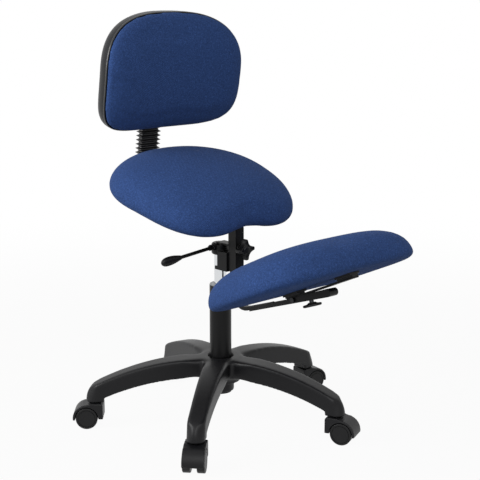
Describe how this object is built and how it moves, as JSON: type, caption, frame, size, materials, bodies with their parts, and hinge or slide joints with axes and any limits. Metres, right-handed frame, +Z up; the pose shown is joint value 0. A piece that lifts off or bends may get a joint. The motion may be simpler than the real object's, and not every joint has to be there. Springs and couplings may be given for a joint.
{
  "type": "kneeling stool",
  "caption": "Kneeling stool on a five-arm caster base: tilted saddle seat on a gas column, knee pad on an adjustable front arm, and a height-adjustable backrest.",
  "frame": {"origin": "on the floor, on the column's axis", "axes": "+Z up along the column; the stool faces -Y; +X is the sitter's left"},
  "size_m": [0.639, 0.7651, 0.9381],
  "materials": {
    "moulded_black": "moulded glass-filled nylon, fine grain, satin",
    "caster_wheel": "moulded nylon, smooth satin",
    "painted_black": "black epoxy powder coat, fine orange peel",
    "chrome": "bright chrome plate",
    "zinc_steel": "zinc-plated steel, satin",
    "grey_bush": "grey acetal, satin",
    "blue_fabric": "woven blue polyester, matt",
    "plywood": "raw beech plywood",
    "shell_plastic": "moulded polypropylene, fine grain",
    "bellows_rubber": "black rubber, matt"
  },
  "bodies": {
    "base": {"star_base": "moulded_black", "caster_stems": "zinc_steel", "column_tube": "painted_black", "column_bush": "grey_bush", "thrust_bearing": "zinc_steel"},
    "rod": {"piston_rod": "chrome", "piston": "zinc_steel", "retaining_clip": "zinc_steel"},
    "frame": {"gas_cylinder": "chrome", "cylinder_gland": "moulded_black", "mechanism_bracket": "painted_black", "post_sleeve": "painted_black", "seat_plate": "painted_black", "seat_board": "plywood", "seat_cushion": "blue_fabric", "seat_screws": "zinc_steel", "lever_pin": "zinc_steel", "back_spine": "painted_black", "spine_bellows": "bellows_rubber", "spine_bolts": "zinc_steel"},
    "lever": {"release_lever": "painted_black", "lever_grip": "moulded_black"},
    "valve": {"valve_pin": "zinc_steel"},
    "clamp": {"clamp_knob": "moulded_black", "clamp_screw": "zinc_steel"},
    "knee_slide": {"knee_post": "painted_black", "knee_bar": "painted_black", "knee_arm": "painted_black", "tilt_bolt": "chrome"},
    "knee_pad": {"tilt_bar": "painted_black", "pad_blocks": "moulded_black", "knee_board": "plywood", "knee_cushion": "blue_fabric", "knee_screws": "zinc_steel"},
    "tilt_stud": {"tilt_screw": "zinc_steel"},
    "tilt_handle": {"tilt_knob": "moulded_black"},
    "backrest": {"back_carrier": "painted_black", "back_shell": "shell_plastic", "back_board": "plywood", "back_cushion": "blue_fabric", "back_screws": "zinc_steel"},
    "back_handle": {"back_knob": "moulded_black", "back_knob_screw": "zinc_steel"},
    "caster_1": {"caster_1_body": "moulded_black"},
    "caster_1_left": {"caster_1_left_wheel": "caster_wheel"},
    "caster_1_right": {"caster_1_right_wheel": "caster_wheel"},
    "caster_2": {"caster_2_body": "moulded_black"},
    "caster_2_left": {"caster_2_left_wheel": "caster_wheel"},
    "caster_2_right": {"caster_2_right_wheel": "caster_wheel"},
    "caster_3": {"caster_3_body": "moulded_black"},
    "caster_3_left": {"caster_3_left_wheel": "caster_wheel"},
    "caster_3_right": {"caster_3_right_wheel": "caster_wheel"},
    "caster_4": {"caster_4_body": "moulded_black"},
    "caster_4_left": {"caster_4_left_wheel": "caster_wheel"},
    "caster_4_right": {"caster_4_right_wheel": "caster_wheel"},
    "caster_5": {"caster_5_body": "moulded_black"},
    "caster_5_left": {"caster_5_left_wheel": "caster_wheel"},
    "caster_5_right": {"caster_5_right_wheel": "caster_wheel"}
  },
  "joints": [
    {"name": "seat_swivel", "type": "hinge", "parent": "base", "child": "rod", "pos_m": [0, 0, 0.08], "axis": [0, 0, 1], "continuous": true},
    {"name": "seat_height", "type": "slide", "parent": "rod", "child": "frame", "axis": [0, 0, 1], "range_m": [-0.03, 0.09]},
    {"name": "lever_lift", "type": "hinge", "parent": "frame", "child": "lever", "pos_m": [-0.024, 0, 0.416], "axis": [0, 1, 0], "range_deg": [0, 8], "stiffness_Nm_per_rad": 0.9, "springref_deg": -8.59},
    {"name": "valve_press", "type": "slide", "parent": "frame", "child": "valve", "axis": [0, 0, -1], "range_m": [0, 0.0035]},
    {"name": "clamp_turn", "type": "hinge", "parent": "frame", "child": "clamp", "pos_m": [0, -0.08, 0.421], "axis": [0, 1, 0], "range_deg": [0, 540]},
    {"name": "knee_height", "type": "slide", "parent": "frame", "child": "knee_slide", "axis": [0, 0, 1], "range_m": [-0.02, 0.02]},
    {"name": "knee_tilt", "type": "hinge", "parent": "knee_slide", "child": "knee_pad", "pos_m": [0, -0.24447, 0.34003], "axis": [-1, 0, 0], "range_deg": [-3, 6]},
    {"name": "tilt_screw_lift", "type": "slide", "parent": "knee_slide", "child": "tilt_stud", "axis": [0, 0.3206, 0.9472], "range_m": [-0.0023, 0.0046]},
    {"name": "tilt_knob_turn", "type": "hinge", "parent": "tilt_stud", "child": "tilt_handle", "pos_m": [0, -0.28618, 0.34623], "axis": [0, 0.3206, 0.9472], "range_deg": [-270, 540]},
    {"name": "back_height", "type": "slide", "parent": "frame", "child": "backrest", "axis": [0, -0.1305, 0.9914], "range_m": [-0.02, 0.04], "deforming": ["spine_bellows"]},
    {"name": "back_knob_turn", "type": "hinge", "parent": "backrest", "child": "back_handle", "pos_m": [0, 0.25252, 0.80994], "axis": [0, 0.9914, 0.1305], "range_deg": [-540, 0]},
    {"name": "caster_1_swivel", "type": "hinge", "parent": "base", "child": "caster_1", "pos_m": [-0.23147, -0.178, 0.06], "axis": [0, 0, 1], "continuous": true},
    {"name": "caster_1_left_roll", "type": "hinge", "parent": "caster_1", "child": "caster_1_left", "pos_m": [-0.24506, -0.18981, 0.025], "axis": [0.6561, -0.7547, 0], "continuous": true},
    {"name": "caster_1_right_roll", "type": "hinge", "parent": "caster_1", "child": "caster_1_right", "pos_m": [-0.24506, -0.18981, 0.025], "axis": [0.6561, -0.7547, 0], "continuous": true},
    {"name": "caster_2_swivel", "type": "hinge", "parent": "base", "child": "caster_2", "pos_m": [0.09776, -0.27515, 0.06], "axis": [0, 0, 1], "continuous": true},
    {"name": "caster_2_left_roll", "type": "hinge", "parent": "caster_2", "child": "caster_2_left", "pos_m": [0.10479, -0.29172, 0.025], "axis": [0.9205, 0.3907, 0], "continuous": true},
    {"name": "caster_2_right_roll", "type": "hinge", "parent": "caster_2", "child": "caster_2_right", "pos_m": [0.10479, -0.29172, 0.025], "axis": [0.9205, 0.3907, 0], "continuous": true},
    {"name": "caster_3_swivel", "type": "hinge", "parent": "base", "child": "caster_3", "pos_m": [0.29189, 0.00795, 0.06], "axis": [0, 0, 1], "continuous": true},
    {"name": "caster_3_left_roll", "type": "hinge", "parent": "caster_3", "child": "caster_3_left", "pos_m": [0.30967, 0.00513, 0.025], "axis": [0.1564, 0.9877, 0], "continuous": true},
    {"name": "caster_3_right_roll", "type": "hinge", "parent": "caster_3", "child": "caster_3_right", "pos_m": [0.30967, 0.00513, 0.025], "axis": [0.1564, 0.9877, 0], "continuous": true},
    {"name": "caster_4_swivel", "type": "hinge", "parent": "base", "child": "caster_4", "pos_m": [0.08264, 0.28006, 0.06], "axis": [0, 0, 1], "continuous": true},
    {"name": "caster_4_left_roll", "type": "hinge", "parent": "caster_4", "child": "caster_4_left", "pos_m": [0.08576, 0.29779, 0.025], "axis": [-0.9848, 0.1736, 0], "continuous": true},
    {"name": "caster_4_right_roll", "type": "hinge", "parent": "caster_4", "child": "caster_4_right", "pos_m": [0.08576, 0.29779, 0.025], "axis": [-0.9848, 0.1736, 0], "continuous": true},
    {"name": "caster_5_swivel", "type": "hinge", "parent": "base", "child": "caster_5", "pos_m": [-0.24082, 0.16514, 0.06], "axis": [0, 0, 1], "continuous": true},
    {"name": "caster_5_left_roll", "type": "hinge", "parent": "caster_5", "child": "caster_5_left", "pos_m": [-0.2542, 0.17718, 0.025], "axis": [-0.6691, -0.7431, 0], "continuous": true},
    {"name": "caster_5_right_roll", "type": "hinge", "parent": "caster_5", "child": "caster_5_right", "pos_m": [-0.2542, 0.17718, 0.025], "axis": [-0.6691, -0.7431, 0], "continuous": true}
  ],
  "couplings": [
    {"joint": "valve_press", "follows": "lever_lift", "m_per_rad": 0.024},
    {"joint": "tilt_screw_lift", "follows": "knee_tilt", "m_per_rad": 0.0378},
    {"joint": "tilt_knob_turn", "follows": "knee_tilt", "ratio": 79.168}
  ]
}
